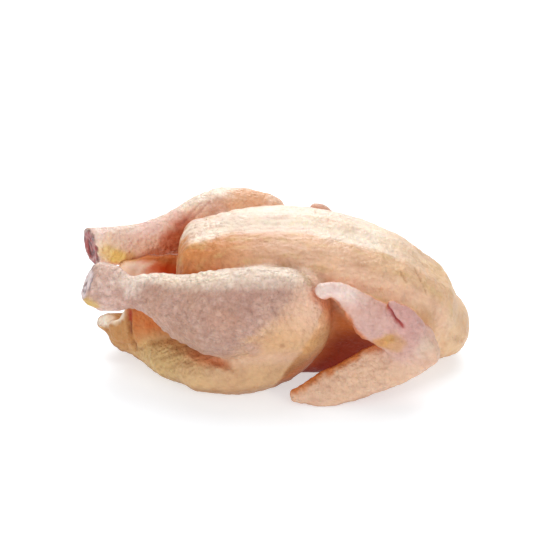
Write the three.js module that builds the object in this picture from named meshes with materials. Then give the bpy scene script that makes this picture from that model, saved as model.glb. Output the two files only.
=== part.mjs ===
// A whole raw chicken, oven-ready, lying on its back: one solid of meat with its skin on.
//
// Millimetres, +Z up. +X points to the neck, -Y is the bird's left side, and the back
// rests flat on Z = 0. Every part of the bird is a limb: a row of cross-sections swept
// into a rounded solid, held as a distance field. The limbs are blended into one field
// with soft minimums, the body cavity is cut out of it, and its zero surface is meshed.

import * as THREE from 'three';

// ---- driving sizes, mm ----

const BOX_MIDDLE = [0, -2.5];    // middle of the bird's box, moved onto the origin
const CELL = [3.6, 3.2, 3.1];    // mesh cell, before the mesh is thinned out
const TRIANGLES = 11000;         // triangles that are left after that
const SPAN_STEPS = 4;            // straight pieces between two cross-sections
const FIELD_LOW = [-137, -90, -7];
const FIELD_HIGH = [136, 91, 105];
const FAR_AWAY = 40;             // field value outside a limb's reach
const REACH = 14;                // how far a limb's field reaches past its own surface

const BREAST_BLEND = 13;
const BODY_BLEND = 11;
const TAIL_BLEND = 7;
const RUMP_BLEND = 9;
const SKIN_BLEND = 5.5;          // legs and flank skin into the body
const CAVITY_BLEND = 4;
const HOCK_BLEND = 3;            // a drumstick stands clear of the thigh at its hock ...
const KNEE_BLEND = 18;           // ... and melts into it at the knee
const SHOULDER_BLEND = 7;
const WRIST_BLEND = 4;
const THUMB_BLEND = 2;
const EDGE_BLEND = 2;            // rounding of the flat base and of the cut hocks

// ---- limbs ----
// Each row is a cross-section: x, y, z of its middle, half width, half height.
// Rows are for the right side (+Y) or the middle; the left side mirrors them.

const TRUNK = [
  [-79, 0, 18.5, 22, 15.5],
  [-57, 0, 28.5, 31.5, 28.5],
  [-23, 0, 37, 40.5, 38.5],
  [18, 0, 39.5, 43, 42],
  [55, 0, 38.5, 45, 40.5],
  [84, 0, 30.5, 44, 31.5],
  [109.5, 0, 22.5, 33, 19.5],
];
const BREAST = [
  [-46, 13, 68, 23, 20.5],
  [-13, 18.5, 67, 29.5, 26.5],
  [20, 20, 65.5, 31.5, 27.5],
  [50, 20, 59, 31.5, 26.5],
  [75, 18.5, 49.5, 28.5, 25],
  [97, 15.5, 37.5, 25, 22],
];
const KEEL = [
  [-48, 0, 78.5, 7.5, 7.5],
  [-18, 0, 88.5, 7.5, 7.5],
  [23, 0, 88.5, 7.5, 7.5],
  [55, 0, 81, 7.5, 7.5],
  [81, 0, 67, 7.5, 7.5],
];
const TAIL = [
  [-79, 0, 17.5, 24, 16.5],
  [-96, 0, 15, 17.5, 12],
  [-107, 0, 19.3, 10.5, 7.7],
  [-114, 0, 21.5, 6, 4],
];
const RUMP = [
  [-80, 16, 14, 13.5, 12.5],
  [-62, 34.5, 13.2, 18.5, 12.7],
  [-40, 43, 14, 25, 14],
];
const LEFT_FLANK = [             // the thin flap of skin each side of the cavity mouth
  [-103, 22, 26, 3.7, 7],
  [-94, 25, 28.5, 3.7, 9.5],
  [-84, 27, 36, 4, 14],
  [-73, 29, 41, 4, 16],
  [-57, 31.5, 44, 5.5, 17],
];
const RIGHT_FLANK = [
  [-107, 23.5, 40.5, 3.7, 8.5],
  [-98, 25.5, 41, 3.8, 12.5],
  [-88, 26.5, 41.5, 4, 15],
  [-78, 28, 42.5, 4.3, 16.2],
  [-57, 31.5, 42, 5.5, 15.5],
];
const BACK = [                   // the broad back that the bird lies on
  [-6, 22, 12.5, 17, 12.5],
  [20, 24, 12.5, 17, 12.5],
  [50, 22, 13, 17, 12.5],
  [78, 16, 13.5, 15, 12.5],
];
const CAVITY = [
  [-121, 0, 62.5, 27.5, 27.5],
  [-87, 0, 49.5, 24, 22],
  [-46, 0, 46, 25, 19.5],
  [-5, 0, 44, 22, 18.5],
];

const LEFT_THIGH = [
  [-44, 44, 14, 26, 14],
  [-22, 47, 16.5, 27.5, 17.5],
  [-2, 47, 29, 25, 25.5],
  [11, 46, 40, 20, 24],
];
const RIGHT_THIGH = [
  [-44, 42.5, 15.5, 24, 15.5],
  [-27, 45, 22, 25, 22],
  [-11, 46, 35, 24, 29.5],
];
const LEFT_DRUMSTICK = [         // knee, swelling of the calf, thin shank, knuckle of the hock
  [12, 59, 57, 22, 25],
  [-7, 61.5, 59, 23, 26.5],
  [-31, 61.5, 56, 23, 27.5],
  [-53, 57, 58, 17.5, 21],
  [-73, 49.5, 63.5, 12.5, 13.5],
  [-89, 43.5, 62.5, 10, 10],
  [-98, 40, 62, 12, 13],
  [-105, 38, 64, 13.5, 15.5],
  [-110.5, 36.5, 64, 12.5, 14],
];
const RIGHT_DRUMSTICK = [
  [-9, 59, 69, 19.5, 22.5],
  [-26, 58, 72, 22, 23],
  [-42, 55, 72, 21, 22.5],
  [-60, 51.5, 68, 15.5, 18],
  [-78, 46, 65, 12.5, 13.5],
  [-92, 42.5, 63, 11.5, 12.3],
  [-105, 39.5, 62, 12, 13.3],
  [-118, 37.5, 61.5, 12.5, 13.5],
  [-136, 37, 61, 12, 13],
];
// A hock is cut through by a plane: a point on it and the way it faces.
const LEFT_HOCK_CUT = { at: [-119, -37, 64], facing: [-0.85, -0.22, 0.47] };
const RIGHT_HOCK_CUT = { at: [-125.5, 37, 60], facing: [-0.87, -0.47, -0.08] };

const LEFT_WING = {
  upperArm: [[86, 42.5, 37, 13, 14.5], [59, 55, 52.5, 9, 10], [37, 70, 74.5, 4.5, 4.5]],
  forearm: [
    [28.5, 74.5, 77.5, 4, 4.5],
    [38.5, 74.5, 77.5, 4.5, 5],
    [49, 74.5, 69, 5, 8.5],
    [59, 74.5, 59, 5.5, 12],
    [70, 73.5, 51.5, 6.5, 13],
    [81, 72, 44, 8.5, 14],
    [88, 69, 40, 8.5, 13],
  ],
  hand: [
    [90, 69, 39, 8.5, 14],
    [75, 69, 28.5, 7.5, 14.5],
    [60, 70, 22, 6.5, 14],
    [45, 71, 14.5, 6, 12],
    [30, 73, 9.5, 5, 10],
    [13, 74.5, 7, 3.2, 4.2],
  ],
  thumb: [[84, 74.5, 50, 5, 9], [76.5, 77.5, 61.5, 4.5, 7], [70, 78.5, 69, 3, 3.5]],
};
const RIGHT_WING = {
  upperArm: [[86, 42.5, 35, 13, 14], [59, 53.5, 51.5, 9, 9], [33, 64.5, 74, 4.5, 4.5]],
  forearm: [
    [28.5, 66, 77.5, 4.3, 4.5],
    [33, 66, 76, 4.5, 4.8],
    [43, 65.5, 66.5, 5, 6.5],
    [55, 64.5, 55, 5.5, 10],
    [70, 64.5, 44, 6.5, 11],
    [81, 63.5, 37.5, 7.5, 11],
    [88, 61.5, 33, 7.5, 11],
  ],
  hand: [
    [90, 63.5, 31.5, 8.5, 12],
    [75, 66, 24, 7.5, 13],
    [60, 69, 18.5, 6.5, 12],
    [45, 72, 14, 6, 11],
    [30, 73.5, 9.5, 5, 9],
    [17, 74.5, 7.5, 3.5, 4.5],
  ],
  thumb: [[83, 67, 40.5, 4.5, 7.5], [73, 69, 49, 4, 6.5], [67, 70, 53.5, 3, 3.5]],
};
const HAND_LEAN = [0, -0.42, 0.9];   // the hand leans outward from wrist to fingertips

// ---- distance fields ----

function softMin(a, b, blend) {
  const near = Math.max(blend - Math.abs(a - b), 0) / blend;
  return Math.min(a, b) - near * near * blend / 4;
}

function softMax(a, b, blend) {
  return -softMin(-a, -b, blend);
}

function smoothStep(x, from, to) {
  const t = THREE.MathUtils.clamp((x - from) / (to - from), 0, 1);
  return t * t * (3 - 2 * t);
}

function mirrored(rows) {
  return rows.map(([x, y, z, width, height]) => [x, -y, z, width, height]);
}

// Rows between the given ones, on a Catmull-Rom curve through positions and sizes alike.
function refined(rows) {
  const before = rows[0].map((value, i) => 2 * value - rows[1][i]);
  const last = rows.at(-1);
  const after = last.map((value, i) => 2 * value - rows.at(-2)[i]);
  const all = [before, ...rows, after];
  const result = [];
  for (let span = 1; span < all.length - 2; span++) {
    const [a, b, c, d] = all.slice(span - 1, span + 3);
    for (let step = 0; step < SPAN_STEPS; step++) {
      const t = step / SPAN_STEPS;
      result.push(b.map((_, i) => 0.5 * (2 * b[i] + (c[i] - a[i]) * t
        + (2 * a[i] - 5 * b[i] + 4 * c[i] - d[i]) * t * t
        + (3 * b[i] - a[i] - 3 * c[i] + d[i]) * t * t * t)));
    }
  }
  result.push(last);
  return result;
}

// The field of one limb. power 2 makes its sections ellipses and more makes them squarer;
// capLength is the length of its rounded ends as a share of its smaller half size.
function limb(rows, { up = [0, 0, 1], power = 2, capLength = 1 } = {}) {
  const sections = refined(rows);
  const upward = new THREE.Vector3(...up);
  const pieces = [];
  const reach = new THREE.Box3();
  for (let i = 0; i + 1 < sections.length; i++) {
    const start = new THREE.Vector3(...sections[i].slice(0, 3));
    const along = new THREE.Vector3(...sections[i + 1].slice(0, 3)).sub(start);
    const length = along.length();
    along.normalize();
    const side = new THREE.Vector3().crossVectors(upward, along).normalize();
    const top = new THREE.Vector3().crossVectors(along, side);
    const [from, to] = [sections[i], sections[i + 1]];
    const middle = start.clone().addScaledVector(along, length / 2);
    const radius = length / 2 + Math.max(...from.slice(3), ...to.slice(3));
    pieces.push({ start, along, side, top, length, middle, radius, from, to });
  }
  for (const [x, y, z, width, height] of sections) {
    const middle = new THREE.Vector3(x, y, z);
    const size = 2 * (Math.max(width, height) + REACH);
    reach.union(new THREE.Box3().setFromCenterAndSize(middle, new THREE.Vector3(size, size, size)));
  }
  const offset = new THREE.Vector3();
  return (point) => {
    if (!reach.containsPoint(point)) return FAR_AWAY;
    let nearest = FAR_AWAY;
    for (const { start, along, side, top, length, middle, radius, from, to } of pieces) {
      if (middle.distanceTo(point) - radius > Math.max(nearest, 0) * 1.5) continue;
      offset.subVectors(point, start);
      const axial = offset.dot(along);
      const t = THREE.MathUtils.clamp(axial / length, 0, 1);
      const beyond = axial - t * length;
      const width = from[3] + (to[3] - from[3]) * t;
      const height = from[4] + (to[4] - from[4]) * t;
      const x = offset.dot(side);
      const y = offset.dot(top);
      const cap = Math.min(width, height) * capLength;
      const scale = (Math.abs(x / width) ** power + Math.abs(y / height) ** power
        + Math.abs(beyond / cap) ** power) ** (1 / power) + 1e-9;
      nearest = Math.min(nearest, Math.hypot(x, y, beyond) * (1 - 1 / scale));
    }
    return nearest;
  };
}

// The same limb on both sides; the left one may have rows of its own.
function limbPair(leftRows, rightRows, { up = [0, 0, 1], ...options } = {}) {
  const left = limb(mirrored(leftRows), { up: [up[0], -up[1], up[2]], ...options });
  const right = limb(rightRows, { up, ...options });
  return (point) => Math.min(left(point), right(point));
}

function cutLimb(field, { at, facing }) {
  const normal = new THREE.Vector3(...facing).normalize();
  const level = normal.dot(new THREE.Vector3(...at));
  return (point) => softMax(field(point), normal.dot(point) - level, EDGE_BLEND);
}

function chickenField() {
  const trunk = limb(TRUNK, { power: 2.15 });
  const leftBreast = limb(mirrored(BREAST), { power: 2.4, capLength: 0.75 });
  const rightBreast = limb(BREAST, { power: 2.4, capLength: 0.75 });
  const keel = limb(KEEL);
  const tail = limb(TAIL, { power: 2.3 });
  const rump = limbPair(RUMP, RUMP);
  const backs = limbPair(BACK, BACK, { power: 2.4 });
  const flankSkin = limbPair(LEFT_FLANK, RIGHT_FLANK, { power: 2.8 });
  const thighs = limbPair(LEFT_THIGH, RIGHT_THIGH, { power: 2.1 });
  const cavity = limb(CAVITY, { power: 2.2 });
  const leftDrumstick = cutLimb(limb(mirrored(LEFT_DRUMSTICK)), LEFT_HOCK_CUT);
  const rightDrumstick = cutLimb(limb(RIGHT_DRUMSTICK), RIGHT_HOCK_CUT);
  const upperArms = limbPair(LEFT_WING.upperArm, RIGHT_WING.upperArm);
  const forearms = limbPair(LEFT_WING.forearm, RIGHT_WING.forearm);
  const hands = limbPair(LEFT_WING.hand, RIGHT_WING.hand, { up: HAND_LEAN, power: 2.3 });
  const thumbs = limbPair(LEFT_WING.thumb, RIGHT_WING.thumb);

  return (point) => {
    let breast = softMin(leftBreast(point), rightBreast(point), BREAST_BLEND);
    breast = softMin(breast, keel(point), BREAST_BLEND);
    let body = softMin(trunk(point), breast, BODY_BLEND);
    body = softMin(body, tail(point), TAIL_BLEND);
    body = softMin(body, Math.min(rump(point), backs(point)), RUMP_BLEND);
    body = softMin(body, flankSkin(point), SKIN_BLEND);
    body = softMax(body, -cavity(point), CAVITY_BLEND);
    const thigh = softMax(thighs(point), -cavity(point), CAVITY_BLEND);
    const legBlend = HOCK_BLEND + (KNEE_BLEND - HOCK_BLEND) * smoothStep(point.x, -37, 5);
    const leg = softMin(thigh, Math.min(leftDrumstick(point), rightDrumstick(point)), legBlend);
    body = softMin(body, leg, SKIN_BLEND);
    body = softMin(body, upperArms(point), SHOULDER_BLEND);
    let wings = softMin(forearms(point), hands(point), WRIST_BLEND);
    wings = softMin(wings, thumbs(point), THUMB_BLEND);
    body = softMin(body, wings, HOCK_BLEND);
    return softMax(body, -point.z, EDGE_BLEND);
  };
}

// ---- meshing ----
// Dual mesh of the zero surface: each loop of crossed edges in a grid cell gives one
// vertex, and each crossed grid edge gives the four-sided face between its four cells.

const CORNERS = [0, 1, 2, 3, 4, 5, 6, 7].map((bits) => [bits & 1, (bits >> 1) & 1, bits >> 2]);
const CELL_FACES = [             // corners in order round each face
  [0, 2, 6, 4], [1, 3, 7, 5], [0, 1, 5, 4], [2, 3, 7, 6], [0, 1, 3, 2], [4, 5, 7, 6],
];

function edgeKey(a, b) {
  return Math.min(a, b) * 8 + Math.max(a, b);
}

// Groups a cell's crossed edges into closed loops. On a face with four crossings the
// two corners inside the surface are kept apart.
function crossedLoops(inside) {
  const parent = new Map();
  const root = (key) => (parent.get(key) === key ? key : root(parent.get(key)));
  const join = (a, b) => parent.set(root(a), root(b));
  for (const face of CELL_FACES) {
    const crossed = [];
    for (let i = 0; i < 4; i++) {
      const [a, b] = [face[i], face[(i + 1) % 4]];
      if (inside[a] === inside[b]) continue;
      const key = edgeKey(a, b);
      if (!parent.has(key)) parent.set(key, key);
      crossed.push(key);
    }
    if (crossed.length === 2) join(crossed[0], crossed[1]);
    if (crossed.length < 4) continue;
    for (let i = 0; i < 4; i++) {
      if (inside[face[i]]) join(crossed[i], crossed[(i + 3) % 4]);
    }
  }
  const loops = new Map();
  for (const key of parent.keys()) {
    const top = root(key);
    if (!loops.has(top)) loops.set(top, []);
    loops.get(top).push(key);
  }
  return [...loops.values()];
}

function meshField(field) {
  const size = CELL.map((step, i) => Math.ceil((FIELD_HIGH[i] - FIELD_LOW[i]) / step) + 1);
  const index = (i, j, k) => (i * size[1] + j) * size[2] + k;
  const place = (corner) => new THREE.Vector3(
    ...corner.map((n, axis) => FIELD_LOW[axis] + n * CELL[axis]),
  );
  const value = new Float64Array(size[0] * size[1] * size[2]);
  for (let i = 0; i < size[0]; i++) {
    for (let j = 0; j < size[1]; j++) {
      let clear = 0;             // grid points ahead that are surely outside
      for (let k = 0; k < size[2]; k++) {
        const here = index(i, j, k);
        value[here] = clear > 0 ? value[here - 1] : field(place([i, j, k]));
        clear = clear > 0 ? clear - 1 : Math.floor(value[here] / (1.5 * CELL[2])) - 1;
      }
    }
  }

  const vertices = [];
  const vertexOf = new Map();    // cell and edge -> vertex
  const cellEdge = (cell, key) => cell * 64 + key;
  for (let i = 0; i + 1 < size[0]; i++) {
    for (let j = 0; j + 1 < size[1]; j++) {
      for (let k = 0; k + 1 < size[2]; k++) {
        const corners = CORNERS.map(([x, y, z]) => [i + x, j + y, k + z]);
        const values = corners.map((corner) => value[index(...corner)]);
        const inside = values.map((v) => v < 0);
        if (inside.every((flag) => flag === inside[0])) continue;
        for (const loop of crossedLoops(inside)) {
          const middle = new THREE.Vector3();
          for (const key of loop) {
            const [a, b] = [key >> 3, key & 7];
            const t = values[a] / (values[a] - values[b]);
            middle.add(place(corners[a]).lerp(place(corners[b]), t));
            vertexOf.set(cellEdge(index(i, j, k), key), vertices.length);
          }
          vertices.push(middle.divideScalar(loop.length));
        }
      }
    }
  }

  const quads = [];
  const start = [0, 0, 0];
  for (start[0] = 1; start[0] + 1 < size[0]; start[0]++) {
    for (start[1] = 1; start[1] + 1 < size[1]; start[1]++) {
      for (start[2] = 1; start[2] + 1 < size[2]; start[2]++) {
        for (let axis = 0; axis < 3; axis++) {
          const end = start.map((n, i) => n + (i === axis ? 1 : 0));
          const startInside = value[index(...start)] < 0;
          if (startInside === value[index(...end)] < 0) continue;
          const [second, third] = [(axis + 1) % 3, (axis + 2) % 3];
          const ring = [[1, 1], [0, 1], [0, 0], [1, 0]].map(([down2, down3]) => {
            const cell = [...start];
            cell[second] -= down2;
            cell[third] -= down3;
            const from = (down2 << second) | (down3 << third);
            return vertexOf.get(cellEdge(index(...cell), edgeKey(from, from | (1 << axis))));
          });
          quads.push(startInside ? ring : ring.reverse());
        }
      }
    }
  }
  return { vertices, quads };
}

function gradient(field, point) {
  const probe = 0.3;
  const slope = new THREE.Vector3();
  for (const axis of ['x', 'y', 'z']) {
    const ahead = point.clone();
    const behind = point.clone();
    ahead[axis] += probe;
    behind[axis] -= probe;
    slope[axis] = (field(ahead) - field(behind)) / (2 * probe);
  }
  return slope;
}

// Newton steps that put a vertex on the zero surface.
function settle(field, point) {
  const longestStep = 1.2;
  for (let step = 0; step < 2; step++) {
    const slope = gradient(field, point);
    const move = -field(point) / Math.max(slope.lengthSq(), 0.04);
    point.add(slope.multiplyScalar(move).clampLength(0, longestStep));
  }
}

function toTriangles({ vertices, quads }) {
  return quads.flatMap(([a, b, c, d]) => {
    const shorterAC = vertices[a].distanceTo(vertices[c]) < vertices[b].distanceTo(vertices[d]);
    return shorterAC ? [[a, b, c], [a, c, d]] : [[a, b, d], [b, c, d]];
  });
}

function trianglesRound(count, triangles) {
  const round = Array.from({ length: count }, () => []);
  for (const triangle of triangles) {
    for (const corner of triangle) round[corner].push(triangle);
  }
  return round;
}

// ---- thinning out ----
// Edges are collapsed where that bends the surface least (Garland and Heckbert's
// quadrics), so flat stretches get few triangles and thin or sharp ones keep theirs.

const ROUND_SHARE = 0.05;        // most edges collapsed between two sortings
const LENGTH_COST = 0.004;       // keeps the triangles from growing very uneven
const MIDDLE_PULL = 0.01;        // draws the new vertex to the edge's middle where all is flat

// Sum of squared distances to planes, as p.A.p + 2 b.p + c.
class Quadric {
  constructor() {
    this.a = new Array(9).fill(0);
    this.b = new THREE.Vector3();
    this.c = 0;
  }

  addPlane(normal, level, weight) {
    const n = normal.toArray();
    this.a = this.a.map((value, i) => value + weight * n[Math.floor(i / 3)] * n[i % 3]);
    this.b.addScaledVector(normal, weight * level);
    this.c += weight * level * level;
  }

  plus(other) {
    const sum = new Quadric();
    sum.a = this.a.map((value, i) => value + other.a[i]);
    sum.b.addVectors(this.b, other.b);
    sum.c = this.c + other.c;
    return sum;
  }

  cost(point) {
    const bent = point.clone().applyMatrix3(new THREE.Matrix3(...this.a));
    return point.dot(bent) + 2 * this.b.dot(point) + this.c;
  }

  // The cheapest point, pulled slightly to the one given.
  bestNear(point) {
    const pull = MIDDLE_PULL * (this.a[0] + this.a[4] + this.a[8]);
    const solved = this.a.map((value, i) => value + (i % 4 === 0 ? pull : 0));
    const target = point.clone().multiplyScalar(pull).sub(this.b);
    return target.applyMatrix3(new THREE.Matrix3(...solved).invert());
  }
}

function faceNormal(a, b, c) {
  return new THREE.Vector3().subVectors(b, a).cross(new THREE.Vector3().subVectors(c, a));
}

function planeQuadrics(vertices, triangles) {
  const quadrics = vertices.map(() => new Quadric());
  for (const triangle of triangles) {
    const [a, b, c] = triangle.map((corner) => vertices[corner]);
    const normal = faceNormal(a, b, c);
    const area = normal.length() / 2;
    normal.normalize();
    for (const corner of triangle) quadrics[corner].addPlane(normal, -normal.dot(a), area);
  }
  return quadrics;
}

function thinOut(vertices, triangles, target) {
  const quadrics = planeQuadrics(vertices, triangles);
  let kept = triangles;
  while (kept.length > target) {
    const round = trianglesRound(vertices.length, kept);
    const edges = [];
    for (const triangle of kept) {
      for (let i = 0; i < 3; i++) {
        const [a, b] = [triangle[i], triangle[(i + 1) % 3]];
        if (a > b) continue;
        const quadric = quadrics[a].plus(quadrics[b]);
        const middle = vertices[a].clone().lerp(vertices[b], 0.5);
        const place = quadric.bestNear(middle);
        const length = vertices[a].distanceToSquared(vertices[b]);
        edges.push({ a, b, quadric, place, cost: quadric.cost(place) + LENGTH_COST * length ** 2 });
      }
    }
    edges.sort((one, other) => one.cost - other.cost);
    const busy = new Uint8Array(vertices.length);
    const dropped = new Set();
    let left = Math.min(Math.ceil((kept.length - target) / 2), edges.length * ROUND_SHARE);
    for (const { a, b, quadric, place } of edges) {
      if (left <= 0) break;
      if (busy[a] || busy[b]) continue;
      const ringA = new Set(round[a].flat());
      const ringB = new Set(round[b].flat());
      const shared = [...ringA].filter((vertex) => ringB.has(vertex));
      if (shared.length !== 4) continue;   // a, b and the two corners opposite their edge
      const turns = [...round[a], ...round[b]].some((triangle) => {
        if (triangle.includes(a) && triangle.includes(b)) return false;
        const before = triangle.map((corner) => vertices[corner]);
        const after = triangle.map((corner) => (corner === a || corner === b ? place : vertices[corner]));
        const [old, fresh] = [faceNormal(...before), faceNormal(...after)];
        return old.dot(fresh) < 0.5 * old.length() * fresh.length() || fresh.length() < 0.4;
      });
      if (turns) continue;
      for (const triangle of round[b]) {
        if (triangle.includes(a)) dropped.add(triangle);
        else triangle[triangle.indexOf(b)] = a;
      }
      vertices[a].copy(place);
      quadrics[a] = quadric;
      for (const vertex of [...ringA, ...ringB]) busy[vertex] = 1;
      left--;
    }
    kept = kept.filter((triangle) => !dropped.has(triangle));
    if (dropped.size === 0) break;
  }
  return kept;
}

function toGeometry(vertices, triangles) {
  const flat = 0.02;             // base vertices this near Z = 0 are put exactly on it
  const used = [...new Set(triangles.flat())];
  const renumbered = new Map(used.map((vertex, i) => [vertex, i]));
  const positions = used.flatMap((vertex) => {
    const { x, y, z } = vertices[vertex];
    return [x - BOX_MIDDLE[0], y - BOX_MIDDLE[1], Math.abs(z) < flat ? 0 : z];
  });
  const geometry = new THREE.BufferGeometry();
  geometry.setAttribute('position', new THREE.Float32BufferAttribute(positions, 3));
  geometry.setIndex(triangles.flat().map((vertex) => renumbered.get(vertex)));
  geometry.computeVertexNormals();
  return geometry;
}

function makeChicken() {
  const field = chickenField();
  const mesh = meshField(field);
  for (const vertex of mesh.vertices) settle(field, vertex);
  const triangles = thinOut(mesh.vertices, toTriangles(mesh), TRIANGLES);
  for (const vertex of new Set(triangles.flat())) settle(field, mesh.vertices[vertex]);
  const skin = new THREE.MeshStandardMaterial({ color: 0xe0b694, roughness: 0.45, metalness: 0 });
  const chicken = new THREE.Mesh(toGeometry(mesh.vertices, triangles), skin);
  chicken.name = 'chicken';
  return chicken;
}

const model = new THREE.Group();
model.name = 'whole_raw_chicken';
model.add(makeChicken());

export default model;
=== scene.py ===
"""Looks of a whole raw chicken: skin with its folds and follicles, cut hocks, open cavity.

The bird is a field of blended limbs, as in the CAD model, meshed finely here. Wrinkles,
folds and follicles are moved into that mesh, and each vertex gets the tint of the part of
the bird that it lies on. The field works in millimetres in the bird's own frame: +X to
the neck, +Y its right side, +Z up; the mesh is made in metres in the part's frame.
"""
import math

import bpy
import numpy as np
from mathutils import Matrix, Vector


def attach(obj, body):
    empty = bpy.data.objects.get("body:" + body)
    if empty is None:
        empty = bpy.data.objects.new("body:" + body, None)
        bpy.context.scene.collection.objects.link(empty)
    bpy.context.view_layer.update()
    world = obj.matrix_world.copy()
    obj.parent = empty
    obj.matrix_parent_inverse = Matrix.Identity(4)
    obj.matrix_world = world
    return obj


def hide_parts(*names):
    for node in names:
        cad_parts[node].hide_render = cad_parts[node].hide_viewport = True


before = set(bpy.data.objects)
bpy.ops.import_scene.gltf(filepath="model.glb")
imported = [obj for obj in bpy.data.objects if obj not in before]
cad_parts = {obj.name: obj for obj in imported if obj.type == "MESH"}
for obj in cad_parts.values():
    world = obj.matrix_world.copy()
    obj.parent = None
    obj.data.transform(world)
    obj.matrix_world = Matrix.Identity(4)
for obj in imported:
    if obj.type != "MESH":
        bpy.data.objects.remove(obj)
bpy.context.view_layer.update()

MM = 0.001
BOX_MIDDLE = np.array([0.0, -2.5, 0.0])  # middle of the bird's box, in the bird's frame
CELL = 1.42  # mesh cell
SPAN_STEPS = 4  # straight pieces between two cross-sections
FAR_AWAY = 40.0  # field value outside a limb's reach
REACH = 14.0  # how far past its largest section a limb's field goes
FIELD_LOW = (-137.0, -90.0, -5.0)  # corners of the box that is meshed
FIELD_HIGH = (136.0, 91.0, 105.0)

# How far apart two forms' fields may be and still blend, in millimetres.
BREAST_BLEND = 13.0
BODY_BLEND = 11.0
TAIL_BLEND = 7.0
RUMP_BLEND = 9.0
SKIN_BLEND = 5.5
CAVITY_BLEND = 4.0
HOCK_BLEND = 3.0
KNEE_BLEND = 18.0
SHOULDER_BLEND = 7.0
WRIST_BLEND = 4.0
THUMB_BLEND = 2.0
EDGE_BLEND = 2.0

# ---- limbs: rows of x, y, z of a cross-section's middle, half width, half height ----

TRUNK = [
    (-79, 0, 18.5, 22, 15.5), (-57, 0, 28.5, 31.5, 28.5), (-23, 0, 37, 40.5, 38.5), (18, 0, 39.5, 43, 42),
    (55, 0, 38.5, 45, 40.5), (84, 0, 30.5, 44, 31.5), (109.5, 0, 22.5, 33, 19.5),
]
BREAST = [
    (-46, 13, 68, 23, 20.5), (-13, 18.5, 67, 29.5, 26.5), (20, 20, 65.5, 31.5, 27.5),
    (50, 20, 59, 31.5, 26.5), (75, 18.5, 49.5, 28.5, 25), (97, 15.5, 37.5, 25, 22),
]
KEEL = [
    (-48, 0, 78.5, 7.5, 7.5), (-18, 0, 88.5, 7.5, 7.5), (23, 0, 88.5, 7.5, 7.5),
    (55, 0, 81, 7.5, 7.5), (81, 0, 67, 7.5, 7.5),
]
TAIL = [(-79, 0, 17.5, 24, 16.5), (-96, 0, 15, 17.5, 12), (-107, 0, 19.3, 10.5, 7.7), (-114, 0, 21.5, 6, 4)]
RUMP = [(-80, 16, 14, 13.5, 12.5), (-62, 34.5, 13.2, 18.5, 12.7), (-40, 43, 14, 25, 14)]
LEFT_FLANK = [
    (-103, 22, 26, 3.7, 7), (-94, 25, 28.5, 3.7, 9.5), (-84, 27, 36, 4, 14), (-73, 29, 41, 4, 16),
    (-57, 31.5, 44, 5.5, 17),
]
RIGHT_FLANK = [
    (-107, 23.5, 40.5, 3.7, 8.5), (-98, 25.5, 41, 3.8, 12.5), (-88, 26.5, 41.5, 4, 15),
    (-78, 28, 42.5, 4.3, 16.2), (-57, 31.5, 42, 5.5, 15.5),
]
BACK = [(-6, 22, 12.5, 17, 12.5), (20, 24, 12.5, 17, 12.5), (50, 22, 13, 17, 12.5), (78, 16, 13.5, 15, 12.5)]
CAVITY = [(-121, 0, 62.5, 27.5, 27.5), (-87, 0, 49.5, 24, 22), (-46, 0, 46, 25, 19.5), (-5, 0, 44, 22, 18.5)]
LEFT_THIGH = [
    (-44, 44, 14, 26, 14), (-22, 47, 16.5, 27.5, 17.5), (-2, 47, 29, 25, 25.5), (11, 46, 40, 20, 24),
]
RIGHT_THIGH = [(-44, 42.5, 15.5, 24, 15.5), (-27, 45, 22, 25, 22), (-11, 46, 35, 24, 29.5)]
LEFT_DRUMSTICK = [
    (12, 59, 57, 22, 25), (-7, 61.5, 59, 23, 26.5), (-31, 61.5, 56, 23, 27.5), (-53, 57, 58, 17.5, 21),
    (-73, 49.5, 63.5, 12.5, 13.5), (-89, 43.5, 62.5, 10, 10), (-98, 40, 62, 12, 13),
    (-105, 38, 64, 13.5, 15.5), (-110.5, 36.5, 64, 12.5, 14),
]
RIGHT_DRUMSTICK = [
    (-9, 59, 69, 19.5, 22.5), (-26, 58, 72, 22, 23), (-42, 55, 72, 21, 22.5), (-60, 51.5, 68, 15.5, 18),
    (-78, 46, 65, 12.5, 13.5), (-92, 42.5, 63, 11.5, 12.3), (-105, 39.5, 62, 12, 13.3),
    (-118, 37.5, 61.5, 12.5, 13.5), (-136, 37, 61, 12, 13),
]
# A hock is cut through by a plane: a point on it and the way it faces.
LEFT_HOCK_CUT = ((-119, -37, 64), (-0.85, -0.22, 0.47))
RIGHT_HOCK_CUT = ((-125.5, 37, 60), (-0.87, -0.47, -0.08))

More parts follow.
